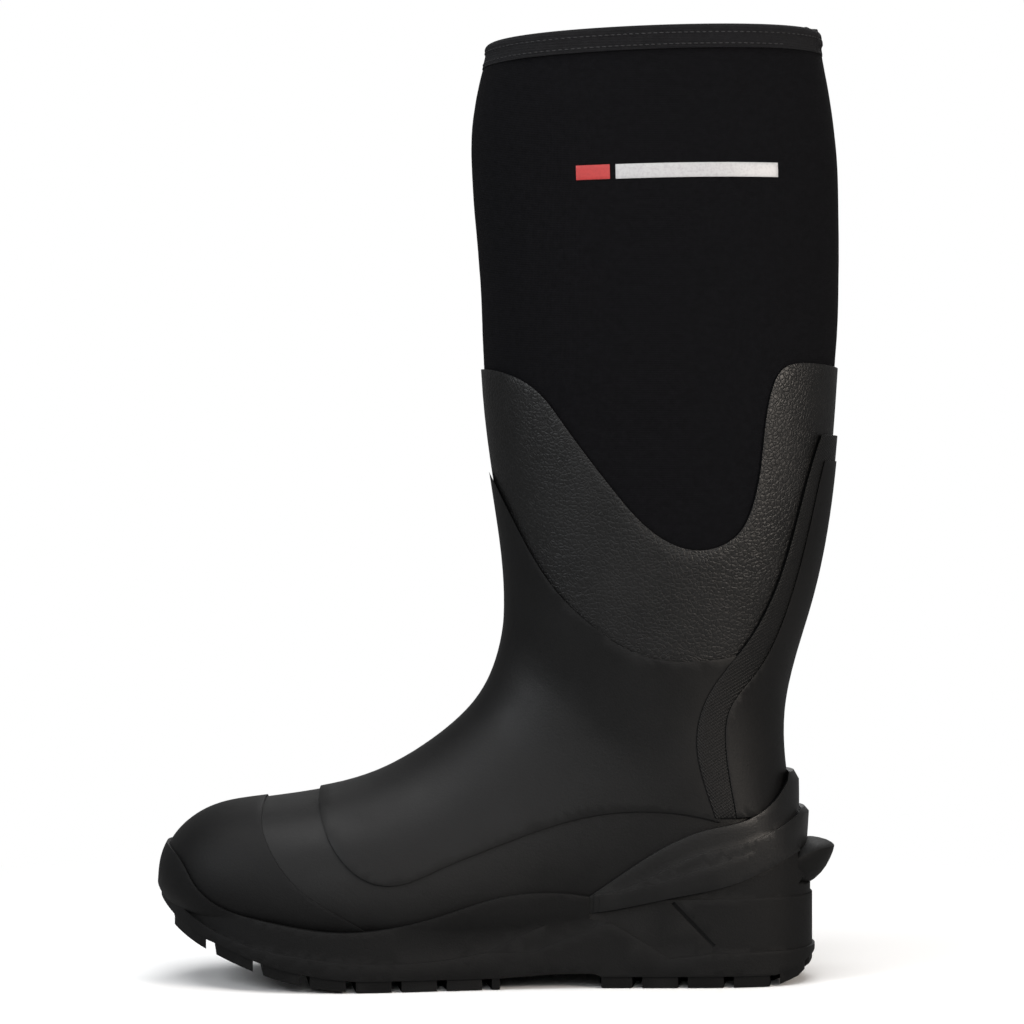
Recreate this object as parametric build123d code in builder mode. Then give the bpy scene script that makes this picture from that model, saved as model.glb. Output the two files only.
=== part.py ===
"""Tall neoprene and rubber yard boot for the left foot.

A stretchy neoprene bootie, bound at its open top, stands in a rubber overshoe: mudguard, foot
shell, ankle collar, strap and back guard lie over each other like shingles on a cleated outsole.

Frame: +Z up, the ground at Z = 0, toe toward -X, heel toward +X, outer side of the foot toward -Y.
The origin is on the ground under the middle of the boot.  Millimetres throughout.
"""
from build123d import *
import os
from collections import namedtuple
from math import copysign, cos, hypot, pi, sin

# ---------------------------------------------------------------- driving dimensions
neoprene = 5.0            # thickness of the bootie's cloth-faced foam
shell_step = 1.3          # each overlay stands this much above the rubber below it
strap_step = 2.0
guard_step = 2.6
toe_cap_step = 0.9
bumper_step = 2.3         # the outsole's bumper, round the toe
flare_steps = (2.4, 2.9, 3.4)       # the counter's three flares, from the top one down
flare_setbacks = (4.2, 6.2, 4.6)
stiffener = 1.3

tape = 1.1                # elastic binding tape
tape_height = 11.0
tape_end_length = 11.0
seam_tape = 0.8
seam_tape_width = 18.0

lug_depth = 5.0
lug_pitch = 20.5
lug_gap = 4.5             # between neighbouring lugs
ledge = 1.2               # the sole's edge stands this far out from its side wall
heel_ledge = 0.9          # and the heel's wall this far out from the part above it
sole_margin = 9.0         # outsole wall around the midsole, seen from below
spur_sweep = 36.1         # radius of the kick spur's rear edge, seen from above
spur_width = 46.0

footbed_cover_thickness = 0.9
footbed_gap = 0.4         # between the footbed and the bootie
shank_size = (100.0, 18.0)

half_span = 90.0          # wider than half the boot, for blocks drawn in the side view
spline_points = 12        # around each cross section

# ---------------------------------------------------------------- the boot's own form
# Cross sections of the bootie's outside.  The cutting planes all hold the Y direction: upright at
# the toe, they fan round the instep until they lie flat up the shaft.  front and back are where a
# plane meets the top (or front) and the sole (or back) line in the side view, belly is where up
# the section it is widest, and the powers make it rounder (2) or squarer (3).  cover is the
# thickness of rubber and lining that the overshoe builds over the bootie there.
Station = namedtuple("Station", "front back outer inner belly top_power sole_power cover")
stations = [
    Station((-146.6, 53.0), (-146.6, 39.0), 14.0, 14.6, 0.45, 2.1, 2.3, 5.3),
    Station((-142.1, 61.0), (-142.1, 35.5), 24.6, 25.6, 0.42, 2.1, 2.4, 6.2),
    Station((-134.1, 66.9), (-134.1, 31.0), 33.6, 34.8, 0.38, 2.1, 2.6, 7.8),
    Station((-108.1, 72.8), (-108.1, 22.5), 43.0, 44.5, 0.34, 2.1, 3.0, 9.2),
    Station((-61.1, 82.5), (-56.1, 16.5), 47.2, 46.5, 0.30, 2.0, 3.0, 8.0),
    Station((-33.1, 98.3), (-10.1, 17.5), 44.0, 40.0, 0.32, 1.85, 3.0, 5.6),
    Station((-12.1, 117.3), (43.9, 20.5), 39.5, 35.5, 0.38, 1.9, 3.0, 3.5),
    Station((-0.6, 134.8), (101.9, 21.5), 38.0, 37.0, 0.43, 1.95, 2.7, 2.4),
    Station((2.4, 142.8), (123.9, 25.0), 37.5, 37.0, 0.45, 2.0, 2.5, 2.1),
    Station((4.4, 150.3), (134.3, 39.0), 37.0, 36.5, 0.46, 2.0, 2.3, 1.9),
    Station((5.7, 157.8), (135.2, 57.0), 37.0, 36.5, 0.47, 2.0, 2.2, 1.7),
    Station((6.3, 165.3), (131.8, 80.0), 37.5, 37.0, 0.48, 2.0, 2.1, 1.5),
    Station((6.0, 183.3), (128.8, 122.0), 40.0, 39.5, 0.50, 2.0, 2.1, 1.4),
    Station((2.9, 210.3), (141.3, 172.3), 44.5, 44.5, 0.50, 2.0, 2.1, 1.4),
    Station((-4.7, 267.3), (154.7, 262.3), 49.3, 49.3, 0.50, 2.1, 2.1, 1.4),
    Station((-9.1, 345.0), (157.8, 350.0), 50.3, 50.3, 0.50, 2.1, 2.1, 1.4),
    Station((-10.9, 392.0), (154.6, 397.0), 49.5, 49.5, 0.50, 2.1, 2.1, 1.4),
    Station((-7.2, 412.0), (151.0, 416.5), 48.2, 48.2, 0.50, 2.1, 2.1, 1.4),
    Station((-3.2, 429.6), (148.2, 435.1), 46.5, 46.5, 0.50, 2.1, 2.1, 1.4),
]
toe_tip = (-148.1, 4.0, 46.0)
rim_station = 14          # the topline trims start above this one
side_cover = 0.5          # the overshoe's sides take this share of the cover over the toes
plain_cover = 1.4         # cover where the rubber lies straight on the neoprene
sole_cover = 2.5          # insole board and lasting margin under the foot


def outward(line, index, turn):
    """The unit normal, in the side view, of a line through the stations' ends."""
    before = line[max(index - 1, 0)]
    after = line[min(index + 1, len(line) - 1)]
    run = after[0] - before[0]
    rise = after[1] - before[1]
    length = hypot(run, rise)
    return (-turn * rise / length, turn * run / length)


def section_outline(station, height, outer, inner):
    """Points round one cross section, as (across, up) in its own plane."""
    belly = station.belly * height
    points = []
    for step in range(spline_points):
        angle = -pi / 2 + 2 * pi * step / spline_points
        power = 2 / (station.top_power if sin(angle) >= 0 else station.sole_power)
        half_width = inner if cos(angle) > 0 else outer
        across = half_width * copysign(abs(cos(angle)) ** power, cos(angle))
        reach = height - belly if sin(angle) >= 0 else belly
        up = belly + reach * copysign(abs(sin(angle)) ** power, sin(angle))
        points.append((across if abs(cos(angle)) > 1e-9 else 0.0, up))
    return points


# Every section's curve is divided alike, which keeps the lofted surface light.
even_steps = [step / spline_points for step in range(spline_points + 1)]


def form(grow=0.0, covered=0.0, setback=0.0, first=0):
    """The bootie's form, grown all round by a thickness and by a share of the overshoe's cover.

    It starts at a station, and is closed over the toes when that is the first.
    """
    front_line = [(toe_tip[0], toe_tip[2])] + [station.front for station in stations]
    back_line = [(toe_tip[0], toe_tip[2])] + [station.back for station in stations]
    tip_cover = grow + covered * stations[0].cover
    sections = [Vertex(toe_tip[0] - tip_cover + setback, toe_tip[1], toe_tip[2])]
    with BuildPart() as body:
        for index, station in enumerate(stations):
            over = grow + covered * station.cover
            beside = grow + covered * (side_cover * (station.cover - plain_cover) + plain_cover)
            under = grow + covered * min(station.cover, sole_cover)
            top = outward(front_line, index + 1, 1)
            sole = outward(back_line, index + 1, -1)
            front = (station.front[0] + top[0] * over, station.front[1] + top[1] * over)
            back = (station.back[0] + sole[0] * under, station.back[1] + sole[1] * under)
            height = hypot(front[0] - back[0], front[1] - back[1])
            leaning = Plane(
                origin=(back[0] + setback, 0, back[1]),
                x_dir=(0, 1, 0),
                z_dir=(front[1] - back[1], 0, back[0] - front[0]),
            )
            with BuildSketch(leaning) as section:
                with BuildLine():
                    outline = section_outline(
                        station, height, station.outer + beside, station.inner + beside
                    )
                    add(Edge.make_spline(outline, periodic=True, parameters=even_steps))
                make_face()
            sections.append(section.sketch.face())
        loft(sections[first + 1:] if first else sections)
    return body.part


# ---------------------------------------------------------------- lines drawn in the side view
beyond = 200.0            # well outside the boot
top_trim = 1.6            # the form's end is cut square here
collar_top = [
    (7.0, 274.8), (17.2, 268.6), (29.7, 253.4), (52.4, 223.1), (75.2, 200.8), (91.2, 196.1),
    (108.2, 203.0), (115.5, 217.0), (119.8, 242.3), (123.5, 267.0), (129.6, 278.0), (136.7, 280.2),
]
collar_lap = [(-beyond, 196.0), (0.0, 180.0), (30.0, 140.0), (75.0, 118.0), (beyond, 112.0)]
shell_top = [
    (-12.0, 250.0), (-1.1, 227.6), (8.7, 207.9), (28.4, 176.2), (41.4, 163.7), (64.2, 149.4),
    (87.0, 146.2), (112.0, 149.5),
]
vamp_edge = [
    (-80.9, 89.3), (-76.4, 71.1), (-69.3, 59.0), (-59.0, 50.0), (-48.3, 47.0), (-25.6, 53.7),
    (2.9, 64.8), (39.5, 76.4), (66.3, 79.1), (101.0, 74.0),
]
strap_front = [
    (147.7, 248.3), (138.3, 218.2), (125.3, 176.1), (112.3, 153.2), (95.7, 131.3), (90.3, 111.1),
    (93.9, 90.9), (98.9, 76.0),
]
guard_front = [
    (149.3, 236.6), (140.3, 198.9), (131.8, 169.3), (117.4, 140.6), (105.3, 124.4),
    (103.5, 108.0), (108.4, 76.0),
]
shell_end_under_strap = [(98.0, 96.0), (98.0, 116.0), (102.0, 130.0), (114.0, 150.0)]
strap_tuck = 6.0          # how far the strap runs on under the back guard
toe_cap_edge = [
    (-104.5, 86.0), (-105.9, 78.1), (-99.6, 60.2), (-84.8, 43.2), (-70.0, 34.0), (-50.0, 20.0),
]
bumper_top = [
    (-150.0, 62.5), (-142.5, 57.5), (-135.3, 47.0), (-124.0, 37.5), (-103.8, 31.4),
    (-71.3, 26.5), (-24.6, 33.2), (2.1, 41.2), (22.0, 43.0), (42.0, 41.0),
]
heel_cup_top = [
    (6.0, 14.0), (11.9, 25.7), (38.7, 33.3), (80.0, 40.5), (110.0, 47.2), (139.0, 60.2),
]
flare_tops = (
    [(42.0, 41.0), (50.9, 47.2), (95.8, 71.0), (112.0, 74.5), (124.0, 81.0), (134.0, 95.0)],
    [(44.2, 42.0), (68.9, 49.4), (90.0, 59.3), (110.0, 64.0), (126.0, 70.0), (140.0, 78.5)],
    [(46.5, 41.3), (67.6, 45.8), (84.6, 50.8), (105.0, 57.0), (125.0, 63.0), (140.0, 66.5)],
)
foxing_top = [
    (-146.0, 38.0), (-134.0, 30.5), (-118.0, 22.8), (-94.0, 17.0), (-64.0, 13.0), (-30.0, 13.0),
    (-5.0, 16.6),
]
arch_foxing_top = [(-8.0, 14.0), (5.0, 20.8), (17.6, 26.4), (35.0, 33.0)]
heel_ridge = [
    (18.0, 16.0), (20.8, 17.9), (49.9, 29.1), (53.0, 28.6), (78.5, 13.0), (96.4, 15.2),
]
heel_groove = [(78.8, 37.5), (80.0, 38.7), (98.7, 19.1), (97.5, 17.9)]
heel_ledge_height = 39.5
tread_line = [            # the lugs' feet, up to the raised toe
    (-160.0, 40.0), (-143.0, 24.5), (-122.0, 14.5), (-100.0, 6.5), (-79.0, 2.0), (-60.0, 0.0),
]
base_line = [(x, z + lug_depth) for x, z in tread_line]     # the outsole between the lugs
arch_height = 6.5
arch = (2.0, 26.0, 44.0)
heel_breast = 47.5
heel_corner = [(126.0, 0.0), (137.0, 3.5), (147.0, 11.0)]
footbed_top = [
    (-134.0, 42.5), (-108.0, 33.5), (-56.0, 27.5), (-10.0, 28.5), (44.0, 31.5), (102.0, 32.5),
    (124.0, 33.5),
]
footbed_reach = (-128.0, 122.0)

# The sole's outline seen from above, clockwise from the tip of the toe.
sole_outline = [
    (-154.0, 5.0), (-149.0, 22.0), (-136.0, 37.0), (-115.0, 48.0), (-90.0, 53.0), (-60.0, 53.5),
    (-30.0, 49.0), (5.0, 41.0), (40.0, 36.5), (75.0, 36.5), (105.0, 37.5), (130.0, 31.0),
    (143.0, 17.0), (146.5, 0.0), (143.0, -17.5), (130.0, -32.0), (105.0, -39.0), (75.0, -40.0),
    (40.0, -40.5), (5.0, -44.5), (-30.0, -51.0), (-60.0, -56.0), (-90.0, -56.0), (-115.0, -50.0),
    (-136.0, -36.0), (-149.0, -16.0),
]


def side_block(curve, closing):
    """A block right through the boot: a smooth line in the side view, closed by straight ones."""
    with BuildPart() as block:
        with BuildSketch(Plane.XZ):
            with BuildLine():
                Spline(*curve)
                Polyline(curve[-1], *closing, curve[0])
            make_face()
        extrude(amount=half_span, both=True)
    return block.part


def angular_block(*corners):
    """A block right through the boot with straight sides."""
    with BuildPart() as block:
        with BuildSketch(Plane.XZ):
            with BuildLine():
                Polyline(*corners, close=True)
            make_face()
        extrude(amount=half_span, both=True)
    return block.part


def below(curve):
    """All that lies under a line in the side view."""
    return side_block(
        curve, [(beyond, curve[-1][1]), (beyond, -beyond), (-beyond, -beyond), (-beyond, curve[0][1])]
    )


def topline(drop):
    """The block under the open top, drop below the form's end."""
    front, back = stations[-1].front, stations[-1].back
    slope = (back[1] - front[1]) / (back[0] - front[0])
    level = front[1] - drop
    return angular_block(
        (-beyond, level - slope * (beyond + front[0])),
        (beyond, level + slope * (beyond - front[0])),
        (beyond, -beyond),
        (-beyond, -beyond),
    )


def sole_prism(inset, low, high):
    """The sole's outline, drawn in by a margin, between two heights."""
    drawn_in = []
    for index, (x, y) in enumerate(sole_outline):
        before = sole_outline[index - 1]
        after = sole_outline[(index + 1) % len(sole_outline)]
        run = after[0] - before[0]
        rise = after[1] - before[1]
        length = hypot(run, rise)
        drawn_in.append((x + inset * rise / length, y - inset * run / length))
    with BuildPart() as block:
        with BuildSketch(Plane.XY.offset(low)):
            with BuildLine():
                Spline(*drawn_in, periodic=True)
            make_face()
        extrude(amount=high - low)
    return block.part


def finish(piece, name):
    """Label a finished piece and write its STEP file."""
    piece.label = name
    export_step(piece, f"parts/{name}.step")


os.makedirs("parts", exist_ok=True)
bootie_outside = form()
bootie_inside = form(-neoprene)
rubber_base = form(covered=1)
opening_level = topline(top_trim)
cloth_edge = topline(top_trim + 1.5 * tape)
tape_edge = topline(top_trim + tape_height)
sole_core = sole_prism(sole_margin, 0.0, 50.0)
board_outline = sole_prism(sole_margin + 3.0, 0.0, 34.0)
under_bumper_top = below([(-170.0, 66.0)] + bumper_top)
under_heel_cup_top = below([(0.0, 8.0)] + heel_cup_top + [(170.0, 64.0)])
under_lap = angular_block(*collar_lap, (beyond, -beyond), (-beyond, -beyond))

# ---------------------------------------------------------------- bootie and its trims
with BuildPart() as neoprene_bootie:
    add(bootie_outside)
    add(bootie_inside, mode=Mode.SUBTRACT)
    add(cloth_edge, mode=Mode.INTERSECT)
finish(neoprene_bootie.part, "neoprene_bootie")

with BuildPart() as topline_binding:
    add(form(tape, first=rim_station))
    add(form(-neoprene - tape, first=rim_station), mode=Mode.SUBTRACT)
    add(opening_level, mode=Mode.INTERSECT)
    add(tape_edge, mode=Mode.SUBTRACT)
    add(neoprene_bootie.part, mode=Mode.SUBTRACT)
finish(topline_binding.part, "topline_binding")

# The tape's free end, turned over and stitched down behind the leg.
with BuildPart() as binding_end_tab:
    add(form(2 * tape, first=rim_station))
    add(form(tape, first=rim_station), mode=Mode.SUBTRACT)
    add(opening_level, mode=Mode.INTERSECT)
    add(tape_edge, mode=Mode.SUBTRACT)
    with BuildSketch(Plane.YZ):
        with Locations((-10.0, 420.0)):
            Rectangle(tape_end_length, 60.0)
    extrude(amount=beyond, mode=Mode.INTERSECT)
finish(binding_end_tab.part, "binding_end_tab")

with BuildPart() as back_seam_tape:
    add(bootie_inside)
    add(form(-neoprene - seam_tape), mode=Mode.SUBTRACT)
    add(topline(top_trim + tape_height + 4.0), mode=Mode.INTERSECT)
    with BuildSketch(Plane.XY.offset(110.0)):
        with Locations((110.0, 0.0)):
            Rectangle(100.0, seam_tape_width)
    extrude(amount=320.0, mode=Mode.INTERSECT)
finish(back_seam_tape.part, "back_seam_tape")

# ---------------------------------------------------------------- stiff pieces inside the overshoe
with BuildPart() as rubber_layer:
    add(rubber_base)
    add(bootie_outside, mode=Mode.SUBTRACT)

with BuildPart() as toe_puff:
    add(form(covered=0.5))
    add(
        angular_block((-beyond, 34.0), (-96.0, 34.0), (-104.0, 120.0), (-beyond, 120.0)),
        mode=Mode.INTERSECT,
    )
    add(bootie_outside, mode=Mode.SUBTRACT)
finish(toe_puff.part, "toe_puff")

with BuildPart() as insole_board:
    add(rubber_layer.part)
    add(board_outline, mode=Mode.INTERSECT)
finish(insole_board.part, "insole_board")

with BuildPart() as heel_stiffener:
    add(form(stiffener, 1))
    add(
        side_block(
            [(64.0, 34.0), (76.0, 47.0), (94.0, 59.0), (114.0, 69.0), (138.0, 74.0)],
            [(beyond, 74.0), (beyond, 30.0), (80.0, 30.0)],
        ),
        mode=Mode.INTERSECT,
    )
    add(under_heel_cup_top, mode=Mode.SUBTRACT)
    add(rubber_base, mode=Mode.SUBTRACT)
finish(heel_stiffener.part, "heel_stiffener")

# ---------------------------------------------------------------- rubber overshoe
with BuildPart() as mudguard:
    add(rubber_layer.part)
    add(under_lap, mode=Mode.INTERSECT)
    add(board_outline, mode=Mode.SUBTRACT)
    add(toe_puff.part, mode=Mode.SUBTRACT)
finish(mudguard.part, "mudguard")

with BuildPart() as collar_panel:
    add(rubber_layer.part)
    add(
        below([(-30.0, 277.0)] + collar_top + [(170.0, 280.2)]),
        mode=Mode.INTERSECT,
    )
    add(under_lap, mode=Mode.SUBTRACT)
finish(collar_panel.part, "collar_panel")

with BuildPart() as foot_shell:
    add(form(shell_step, 1))
    add(below(shell_top), mode=Mode.INTERSECT)
    add(
        side_block(vamp_edge, [*shell_end_under_strap, (114.0, 300.0), (-80.9, 300.0)]),
        mode=Mode.INTERSECT,
    )
    add(rubber_base, mode=Mode.SUBTRACT)
finish(foot_shell.part, "foot_shell")

with BuildPart() as toe_cap:
    add(form(toe_cap_step, 1))
    add(
        side_block(toe_cap_edge, [(-beyond, 20.0), (-beyond, 120.0), (-104.5, 120.0)]),
        mode=Mode.INTERSECT,
    )
    add(under_bumper_top, mode=Mode.SUBTRACT)
    add(rubber_base, mode=Mode.SUBTRACT)
finish(toe_cap.part, "toe_cap")

with BuildPart() as ankle_strap:
    add(form(strap_step, 1))
    add(side_block(strap_front, [(beyond, 76.0), (beyond, 248.3)]), mode=Mode.INTERSECT)
    tucked = [(x + strap_tuck, z - 2.0) for x, z in guard_front]
    add(side_block(tucked, [(beyond, 74.0), (beyond, 234.6)]), mode=Mode.SUBTRACT)
    add(rubber_base, mode=Mode.SUBTRACT)
    add(foot_shell.part, mode=Mode.SUBTRACT)
finish(ankle_strap.part, "ankle_strap")

with BuildPart() as back_guard:
    add(form(guard_step, 1))
    add(side_block(guard_front, [(beyond, 76.0), (beyond, 236.6)]), mode=Mode.INTERSECT)
    add(rubber_base, mode=Mode.SUBTRACT)
    add(ankle_strap.part, mode=Mode.SUBTRACT)
finish(back_guard.part, "back_guard")

# Three flares fan back from the waist of the sole, each standing over the one above.
flares = [form(grow, 1, setback) for grow, setback in zip(flare_steps, flare_setbacks)]
flare_blocks = [
    side_block(edge, [(beyond, edge[-1][1]), (beyond, 30.0), (edge[0][0], 30.0)])
    for edge in flare_tops
]
with BuildPart() as heel_counter:
    for flare, block in zip(flares, flare_blocks):
        add(flare & block)
    add(rubber_base, mode=Mode.SUBTRACT)
    add(under_heel_cup_top, mode=Mode.SUBTRACT)
    for covered_piece in (back_guard, heel_stiffener, foot_shell, ankle_strap):
        add(covered_piece.part, mode=Mode.SUBTRACT)
finish(heel_counter.part, "heel_counter")

# ---------------------------------------------------------------- sole unit
# The steel shank lies under the arch, between the insole board and the midsole.
with BuildPart() as shank:
    add(form(stiffener, 1))
    with BuildSketch():
        with Locations((arch[1] + 28.0, 0.0)):
            SlotOverall(*shank_size)
    extrude(amount=30.0, mode=Mode.INTERSECT)
    add(rubber_base, mode=Mode.SUBTRACT)
finish(shank.part, "shank")

raised_base = [(x, z + 3.0) for x, z in base_line]
under_arch = [(arch[0] - 2.0, 8.0), (arch[1], arch_height + 3.0), (arch[2], arch_height + 3.0)]
well_top = [(-160.0, 47.0), (-120.0, 34.0), (-60.0, 26.0), (0.0, 27.0), (60.0, 30.0), (130.0, 32.0)]
with BuildPart() as midsole_well:
    add(sole_core)
    add(
        side_block(
            raised_base,
            [*under_arch, (heel_breast, 8.0), (129.0, 8.0), (129.0, 60.0), (-160.0, 60.0)],
        ),
        mode=Mode.INTERSECT,
    )
    add(below(well_top), mode=Mode.INTERSECT)

with BuildPart() as midsole:
    add(midsole_well.part)
    add(rubber_base, mode=Mode.SUBTRACT)
    add(shank.part, mode=Mode.SUBTRACT)
finish(midsole.part, "midsole")


def lug_row(x, lean):
    """One row of the tread: a leaning bar on each side and an arrow-shaped lug between them."""
    bar = lug_pitch - lug_gap
    for side in (-1, 1):
        Polygon(
            (x, side * 20.0), (x + bar, side * 20.0), (x + bar + lean, side * 70.0),
            (x + lean, side * 70.0), align=None,
        )
    Polygon(
        (x, 0.0), (x + 5.0, 15.5), (x + bar + 5.0, 15.5), (x + bar, 0.0),
        (x + bar + 5.0, -15.5), (x + 5.0, -15.5), align=None,
    )


forefoot_rows = [-148.0 + lug_pitch * row for row in range(8)]
heel_rows = [heel_breast + lug_pitch * row for row in range(5)]
with BuildPart() as lug_bars:
    with BuildSketch():
        for start in forefoot_rows:
            lug_row(start, 6.0)
        for start in heel_rows:
            lug_row(start, -6.0)
    extrude(amount=50.0)
tread_zone = side_block(
    tread_line,
    [(arch[0], 0.0), (arch[0], arch_height), (heel_breast, arch_height), (heel_breast, 0.0),
     *heel_corner, (147.0, 16.0), (heel_breast, 8.5), (-60.0, 8.5), (-160.0, 49.0)],
)
lugs = lug_bars.part & sole_prism(1.2, -1.0, 50.0) & tread_zone

base_floor = [
    (arch[0], lug_depth), (arch[1], arch_height), (arch[2], arch_height), (heel_breast, lug_depth),
    (126.0, lug_depth), (137.0, 8.0), (147.0, 14.0),
]
above_base = side_block(base_line, [*base_floor, (beyond, 14.0), (beyond, 90.0), (-160.0, 90.0)])

# The sole's edge steps out from its side wall along a ledge, which zigzags at the heel.
with BuildPart() as foxing:
    add(sole_prism(0.0, 0.0, 50.0))
    add(
        side_block(
            foxing_top,
            [*heel_ridge, (beyond, 17.0), (beyond, -beyond), (-beyond, -beyond), (-beyond, 44.0)],
        ),
        mode=Mode.INTERSECT,
    )
    add(above_base, mode=Mode.INTERSECT)

with BuildPart() as upper_foxing:
    add(sole_prism(ledge / 2, 0.0, 50.0))
    add(
        side_block(arch_foxing_top, [(50.0, 29.0), (50.0, 8.0), (-8.0, 8.0)]),
        mode=Mode.INTERSECT,
    )
    add(above_base, mode=Mode.INTERSECT)

with BuildPart() as side_wall:
    add(sole_prism(ledge, 0.0, 44.0))
    add(under_bumper_top, mode=Mode.INTERSECT)
    add(angular_block((-160.0, 5.0), (42.0, 5.0), (42.0, 50.0), (-160.0, 50.0)), mode=Mode.INTERSECT)
    add(above_base, mode=Mode.INTERSECT)

with BuildPart() as heel_wall:
    add(sole_prism(ledge, 5.0, heel_ledge_height))
    add(sole_prism(ledge + heel_ledge, 5.0, 66.0))
    add(under_heel_cup_top, mode=Mode.INTERSECT)
    add(angular_block((40.0, 5.0), (beyond, 5.0), (beyond, 70.0), (40.0, 70.0)), mode=Mode.INTERSECT)
    add(above_base, mode=Mode.INTERSECT)

with BuildPart() as groove:
    add(angular_block(*heel_groove))
    add(sole_prism(2 * ledge, -1.0, 66.0), mode=Mode.SUBTRACT)

with BuildPart() as bumper:
    add(form(bumper_step, 1))
    add(under_bumper_top, mode=Mode.INTERSECT)
    add(angular_block((-160.0, 5.0), (42.0, 5.0), (42.0, 80.0), (-160.0, 80.0)), mode=Mode.INTERSECT)
    add(above_base, mode=Mode.INTERSECT)

# A spur behind the heel, for pushing the boot off with the other foot.
with BuildPart() as kick_spur:
    with BuildSketch():
        with Locations((119.0, 0.0)):
            Circle(spur_sweep)
        with Locations((140.0, 0.0)):
            Rectangle(40.0, spur_width, mode=Mode.INTERSECT)
    extrude(amount=80.0)
    add(
        angular_block(
            (128.0, 42.0), (146.0, 44.5), (150.5, 49.1), (154.6, 56.9), (155.1, 60.1), (154.1, 62.0),
            (148.6, 64.7), (128.0, 63.5),
        ),
        mode=Mode.INTERSECT,
    )
    add(rubber_base, mode=Mode.SUBTRACT)
    for covered_piece in (heel_counter, heel_stiffener):
        add(covered_piece.part, mode=Mode.SUBTRACT)

with BuildPart() as outsole:
    for moulding in (foxing, upper_foxing, side_wall, heel_wall, bumper):
        add(moulding.part)
    add(lugs)
    add(groove.part, mode=Mode.SUBTRACT)
    add(midsole_well.part, mode=Mode.SUBTRACT)
    add(rubber_base, mode=Mode.SUBTRACT)
    add(kick_spur.part)
finish(outsole.part, "outsole")

# ---------------------------------------------------------------- loose footbed
def footbed_surface(drop):
    """The block under a line this far below the footbed's top."""
    line = [(x, z - drop) for x, z in footbed_top]
    return below([(-160.0, line[0][1] + 6.0)] + line + [(150.0, 34.0 - drop)])


toe_end, heel_end = footbed_reach
with BuildPart() as footbed:
    add(form(-neoprene - footbed_gap))
    add(footbed_surface(0.0), mode=Mode.INTERSECT)
    add(
        angular_block((toe_end, -10.0), (heel_end, -10.0), (heel_end, 90.0), (toe_end, 90.0)),
        mode=Mode.INTERSECT,
    )

with BuildPart() as footbed_foam:
    add(footbed.part)
    add(footbed_surface(footbed_cover_thickness), mode=Mode.INTERSECT)
finish(footbed_foam.part, "footbed_foam")

with BuildPart() as footbed_cover:
    add(footbed.part)
    add(footbed_surface(footbed_cover_thickness), mode=Mode.SUBTRACT)
finish(footbed_cover.part, "footbed_cover")
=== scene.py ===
"""Tall stable boot: the looks of one neoprene and rubber boot, laid out as a Blender add-on.

Toe toward -X, heel toward +X, the outer side of the foot toward -Y, the ground at Z = 0.
"""

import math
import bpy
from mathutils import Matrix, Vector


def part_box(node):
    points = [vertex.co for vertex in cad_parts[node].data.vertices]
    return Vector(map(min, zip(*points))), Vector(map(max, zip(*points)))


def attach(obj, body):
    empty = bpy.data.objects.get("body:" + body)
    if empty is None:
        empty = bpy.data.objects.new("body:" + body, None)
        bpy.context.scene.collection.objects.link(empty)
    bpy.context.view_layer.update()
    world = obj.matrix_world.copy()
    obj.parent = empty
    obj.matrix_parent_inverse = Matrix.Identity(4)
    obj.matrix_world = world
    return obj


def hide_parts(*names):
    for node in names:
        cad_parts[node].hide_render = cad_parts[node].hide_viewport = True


bl_info = {
    "name": "Tall Stable Boot",
    "version": (1, 0, 0),
    "blender": (4, 5, 0),
    "location": "3D Viewport > Sidebar > Boot",
    "description": "Dresses the boot's frame in neoprene, moulded rubber, tape and thread",
    "category": "Object",
}

import bpy
from mathutils import Matrix, Vector

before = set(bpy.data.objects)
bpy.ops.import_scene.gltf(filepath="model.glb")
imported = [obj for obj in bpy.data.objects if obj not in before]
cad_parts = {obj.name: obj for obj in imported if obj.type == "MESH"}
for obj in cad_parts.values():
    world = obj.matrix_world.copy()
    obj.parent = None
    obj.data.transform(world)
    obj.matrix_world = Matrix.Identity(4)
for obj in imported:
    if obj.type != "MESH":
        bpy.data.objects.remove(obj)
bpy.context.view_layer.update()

# The layers of the overshoe: CAD node, visible piece, finish and slot.
RUBBER_LAYERS = (
    ("mudguard", "mudguard_skin", "smooth rubber", "black_rubber"),
    ("collar_panel", "collar_skin", "grained rubber", "grained_rubber"),
    ("foot_shell", "foot_skin", "smooth rubber", "black_rubber"),
    ("toe_cap", "toe_skin", "toe rubber", "black_rubber"),
    ("ankle_strap", "strap_skin", "hatched rubber", "ribbed_rubber"),
    ("back_guard", "guard_skin", "smooth rubber", "black_rubber"),
    ("heel_counter", "flare_skin", "flare rubber", "black_rubber"),
)
SOFT_LAYERS = ("toe_cap", "heel_counter")  # moulded with rounder edges
LEG_MIDDLE = 0.073        # X of the leg's middle
SOFT_LEG = (0.20, 0.42)   # heights between which the neoprene swells
HEEL_CENTRE = 0.1073      # X of the middle of the heel's round wall
HEEL_RADIUS = 0.0374      # of that wall, seen from above
SPUR_AXIS = 0.1326        # X of the upright axis of the kick spur
RIM_SLOPE = 5.5 / 151.4   # rise of the rim per length, from shin to calf
SHORT_BAR = (0.0360, 0.0510)   # from X to X
LONG_BAR = (0.0535, 0.1265)
SHARP = 0.7               # radians between faces from which a small bevel rounds their edge


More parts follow.
